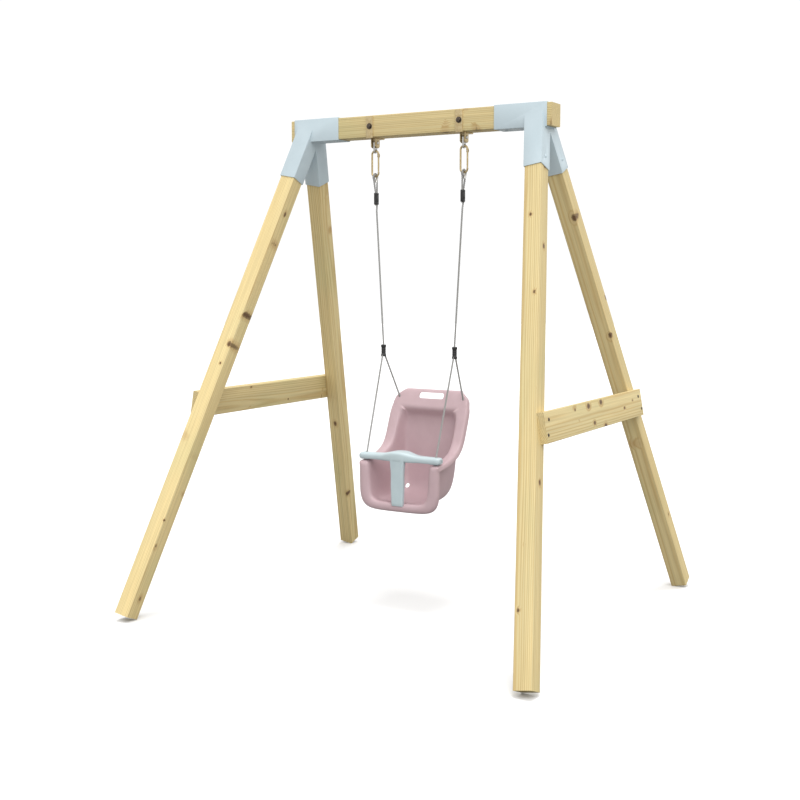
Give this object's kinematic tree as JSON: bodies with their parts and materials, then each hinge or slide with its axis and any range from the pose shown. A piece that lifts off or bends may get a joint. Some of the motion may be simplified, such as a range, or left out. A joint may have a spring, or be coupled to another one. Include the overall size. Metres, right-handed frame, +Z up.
{
  "type": "toddler bucket swing",
  "caption": "Timber A-frame garden swing with a bucket seat for a toddler, hung on ropes from pivoting steel hangers, with a sliding T-shaped safety bar.",
  "frame": {"origin": "on the floor, under the middle of the beam", "axes": "+Z up, +X along the beam to the right, -Y the way the seated child faces"},
  "size_m": [1.8848, 1.7816, 2.1035],
  "materials": {
    "timber": "planed pressure treated softwood",
    "painted_steel": "satin powder coat",
    "yellow_zinc": "yellow zinc plate",
    "dark_steel": "dark plated",
    "bright_steel": "bright zinc plate",
    "black_plastic": "moulded",
    "nylon": "natural",
    "rope": "twisted polypropylene rope",
    "pink_plastic": "moulded satin",
    "pale_blue_plastic": "moulded satin"
  },
  "bodies": {
    "stand": {"beam": "timber", "leg_front_left": "timber", "leg_front_right": "timber", "leg_rear_left": "timber", "leg_rear_right": "timber", "rail_left": "timber", "rail_right": "timber", "bracket_left": "painted_steel", "bracket_right": "painted_steel", "bracket_screw_front_left": "painted_steel", "bracket_screw_rear_left": "painted_steel", "bracket_screw_beam_left": "painted_steel", "rail_screw_upper_front_left": "dark_steel", "rail_screw_lower_front_left": "dark_steel", "rail_screw_upper_rear_left": "dark_steel", "rail_screw_lower_rear_left": "dark_steel", "bracket_screw_front_right": "painted_steel", "bracket_screw_rear_right": "painted_steel", "bracket_screw_beam_right": "painted_steel", "rail_screw_upper_front_right": "dark_steel", "rail_screw_lower_front_right": "dark_steel", "rail_screw_upper_rear_right": "dark_steel", "rail_screw_lower_rear_right": "dark_steel", "hanger_strap_left": "yellow_zinc", "hanger_washer_left": "dark_steel", "hanger_bolt_left": "dark_steel", "hanger_nut_left": "dark_steel", "pivot_pin_left": "bright_steel", "hanger_strap_right": "yellow_zinc", "hanger_washer_right": "dark_steel", "hanger_bolt_right": "dark_steel", "hanger_nut_right": "dark_steel", "pivot_pin_right": "bright_steel"},
    "swing": {"pivot_bush_left": "nylon", "hanger_link_left": "bright_steel", "carabiner_left": "yellow_zinc", "carabiner_rivet_left": "bright_steel", "thimble_left": "bright_steel", "upper_rope_left": "rope", "ferrule_left": "black_plastic", "rope_clamp_left": "black_plastic", "front_rope_left": "rope", "rear_rope_left": "rope", "pivot_bush_right": "nylon", "hanger_link_right": "bright_steel", "carabiner_right": "yellow_zinc", "carabiner_rivet_right": "bright_steel", "thimble_right": "bright_steel", "upper_rope_right": "rope", "ferrule_right": "black_plastic", "rope_clamp_right": "black_plastic", "front_rope_right": "rope", "rear_rope_right": "rope", "seat_shell": "pink_plastic"},
    "gate_left": {"carabiner_gate_left": "yellow_zinc"},
    "gate_right": {"carabiner_gate_right": "yellow_zinc"},
    "safety_bar": {"t_bar": "pale_blue_plastic"}
  },
  "joints": [
    {"name": "swing_pivot", "type": "hinge", "parent": "stand", "child": "swing", "pos_m": [0, 0, 1.989], "axis": [1, 0, 0], "range_deg": [-50, 50]},
    {"name": "safety_bar_slide", "type": "slide", "parent": "swing", "child": "safety_bar", "axis": [0, 0.3251, 0.9457], "range_m": [0, 0.16]},
    {"name": "carabiner_gate_left_hinge", "type": "hinge", "parent": "swing", "child": "gate_left", "pos_m": [-0.1985, 0, 1.9331], "axis": [0, 1, 0], "range_deg": [0, 18], "stiffness_Nm_per_rad": 0.06, "springref_deg": -20.05},
    {"name": "carabiner_gate_right_hinge", "type": "hinge", "parent": "swing", "child": "gate_right", "pos_m": [0.2305, 0, 1.9331], "axis": [0, 1, 0], "range_deg": [0, 18], "stiffness_Nm_per_rad": 0.06, "springref_deg": -20.05}
  ]
}
